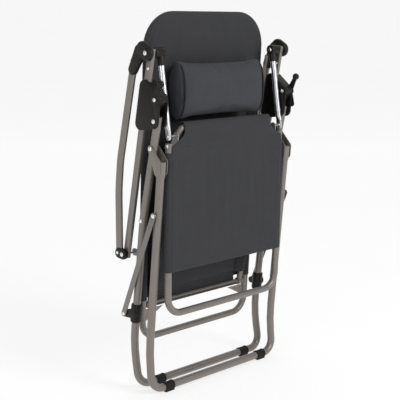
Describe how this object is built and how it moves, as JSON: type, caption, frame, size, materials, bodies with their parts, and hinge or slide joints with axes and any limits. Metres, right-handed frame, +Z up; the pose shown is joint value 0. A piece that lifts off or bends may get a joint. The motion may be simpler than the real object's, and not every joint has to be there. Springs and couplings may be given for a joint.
{
  "type": "folding camp lounger chair",
  "caption": "Folding reclining camp chair with sling seat, legrest and head pillow, folded flat and standing on its crossed tube legs.",
  "frame": {"origin": "on the floor under the middle of the folded chair's width and depth", "axes": "+Z up; the sitter would face -Y, so +X is the sitter's left"},
  "size_m": [0.6238, 0.2287, 1.193],
  "materials": {
    "grey_tube": "satin grey lacquer",
    "bright_aluminium": "bright drawn aluminium",
    "black_plastic": "fine moulded grain, slightly glossy",
    "sling_cloth": "charcoal woven polyester",
    "pillow_cloth": "charcoal woven polyester, padded",
    "rubber_feet": "matt",
    "chrome_pins": "bright plated"
  },
  "bodies": {
    "front_links": {"front_link_left": "bright_aluminium", "front_link_right": "bright_aluminium", "link_knuckle_left": "black_plastic", "link_knuckle_right": "black_plastic", "link_eye_left": "bright_aluminium", "link_eye_right": "bright_aluminium"},
    "arms": {"arm_tube_left": "grey_tube", "arm_tube_right": "grey_tube", "slide_rail_left": "grey_tube", "slide_rail_right": "grey_tube", "arm_grip_left": "black_plastic", "arm_grip_right": "black_plastic", "arm_rear_cap_left": "black_plastic", "arm_rear_cap_right": "black_plastic", "arm_front_bolt_left": "chrome_pins", "arm_front_bolt_right": "chrome_pins", "arm_rear_bolt_left": "chrome_pins", "arm_rear_bolt_right": "chrome_pins"},
    "back": {"back_frame": "grey_tube", "back_cross_tube": "grey_tube", "back_gusset_left": "grey_tube", "back_gusset_right": "grey_tube", "back_pivot_plate_left": "grey_tube", "back_pivot_plate_right": "grey_tube", "back_cloth": "sling_cloth", "head_pillow": "pillow_cloth"},
    "seat": {"seat_frame": "grey_tube", "seat_cloth": "sling_cloth", "knee_plate_left": "bright_aluminium", "knee_plate_right": "bright_aluminium"},
    "legrest": {"legrest_frame": "grey_tube", "legrest_cloth": "sling_cloth", "knee_pin_left": "chrome_pins", "knee_pin_right": "chrome_pins"},
    "locks": {"lock_housing_left": "black_plastic", "lock_housing_right": "black_plastic", "leg_top_pin_left": "chrome_pins", "leg_top_pin_right": "chrome_pins"},
    "lever_left": {"lock_lever_left": "black_plastic"},
    "lever_right": {"lock_lever_right": "black_plastic"},
    "rear_leg": {"rear_leg_frame": "grey_tube", "rear_foot_left": "rubber_feet", "rear_foot_right": "rubber_feet", "collar_stop_left": "chrome_pins", "collar_stop_right": "chrome_pins"},
    "front_leg": {"front_leg_frame": "grey_tube", "front_foot_left": "rubber_feet", "front_foot_right": "rubber_feet", "hinge_bracket_left": "grey_tube", "hinge_bracket_right": "grey_tube", "leg_hinge_pin_left": "chrome_pins", "leg_hinge_pin_right": "chrome_pins", "brace_pin_left": "chrome_pins", "brace_pin_right": "chrome_pins"},
    "braces": {"brace_left": "grey_tube", "brace_right": "grey_tube"},
    "collars": {"slide_collar_left": "black_plastic", "slide_collar_right": "black_plastic"}
  },
  "joints": [
    {"name": "arm_unfold", "type": "hinge", "parent": "front_links", "child": "arms", "pos_m": [0, -0.049, 1.068], "axis": [1, 0, 0], "range_deg": [0, 69]},
    {"name": "back_recline", "type": "hinge", "parent": "arms", "child": "back", "pos_m": [0, 0.073, 0.44], "axis": [-1, 0, 0], "range_deg": [0, 94.9]},
    {"name": "seat_unfold", "type": "hinge", "parent": "back", "child": "seat", "pos_m": [0, 0.05706, 0.263], "axis": [1, 0, 0], "range_deg": [0, 100.1]},
    {"name": "legrest_unfold", "type": "hinge", "parent": "seat", "child": "legrest", "pos_m": [0, -0.085, 0.79], "axis": [-1, 0, 0], "range_deg": [0, 107.3]},
    {"name": "rail_slide", "type": "slide", "parent": "arms", "child": "locks", "axis": [0, 0.1931, -0.9812], "range_m": [0, 0.2]},
    {"name": "lever_left_pull", "type": "hinge", "parent": "locks", "child": "lever_left", "pos_m": [0, -0.084, 0.932], "axis": [1, 0, 0], "range_deg": [0, 40]},
    {"name": "lever_right_pull", "type": "hinge", "parent": "locks", "child": "lever_right", "pos_m": [0, -0.084, 0.932], "axis": [1, 0, 0], "range_deg": [0, 40]},
    {"name": "leg_tilt", "type": "hinge", "parent": "locks", "child": "rear_leg", "pos_m": [0, -0.072, 0.867], "axis": [-1, 0, 0], "range_deg": [0, 38.2]},
    {"name": "leg_spread", "type": "hinge", "parent": "rear_leg", "child": "front_leg", "pos_m": [0, -0.05332, 0.784], "axis": [-1, 0, 0], "range_deg": [0, 68.9]},
    {"name": "brace_swing", "type": "hinge", "parent": "front_leg", "child": "braces", "pos_m": [0, -0.07057, 0.582], "axis": [1, 0, 0], "range_deg": [0, 97.9]},
    {"name": "collar_slide", "type": "slide", "parent": "rear_leg", "child": "collars", "axis": [0, -0.127, 0.9919], "range_m": [0, 0.2597]}
  ],
  "couplings": [
    {"joint": "back_recline", "follows": "arm_unfold", "ratio": 1.3739},
    {"joint": "seat_unfold", "follows": "arm_unfold", "ratio": 1.4484},
    {"joint": "legrest_unfold", "follows": "arm_unfold", "ratio": 1.5528},
    {"joint": "leg_tilt", "follows": "arm_unfold", "ratio": 0.55086},
    {"joint": "leg_spread", "follows": "arm_unfold", "ratio": 0.99565},
    {"joint": "brace_swing", "follows": "arm_unfold", "ratio": 1.4163},
    {"joint": "collar_slide", "follows": "arm_unfold", "m_per_rad": 0.21547}
  ]
}
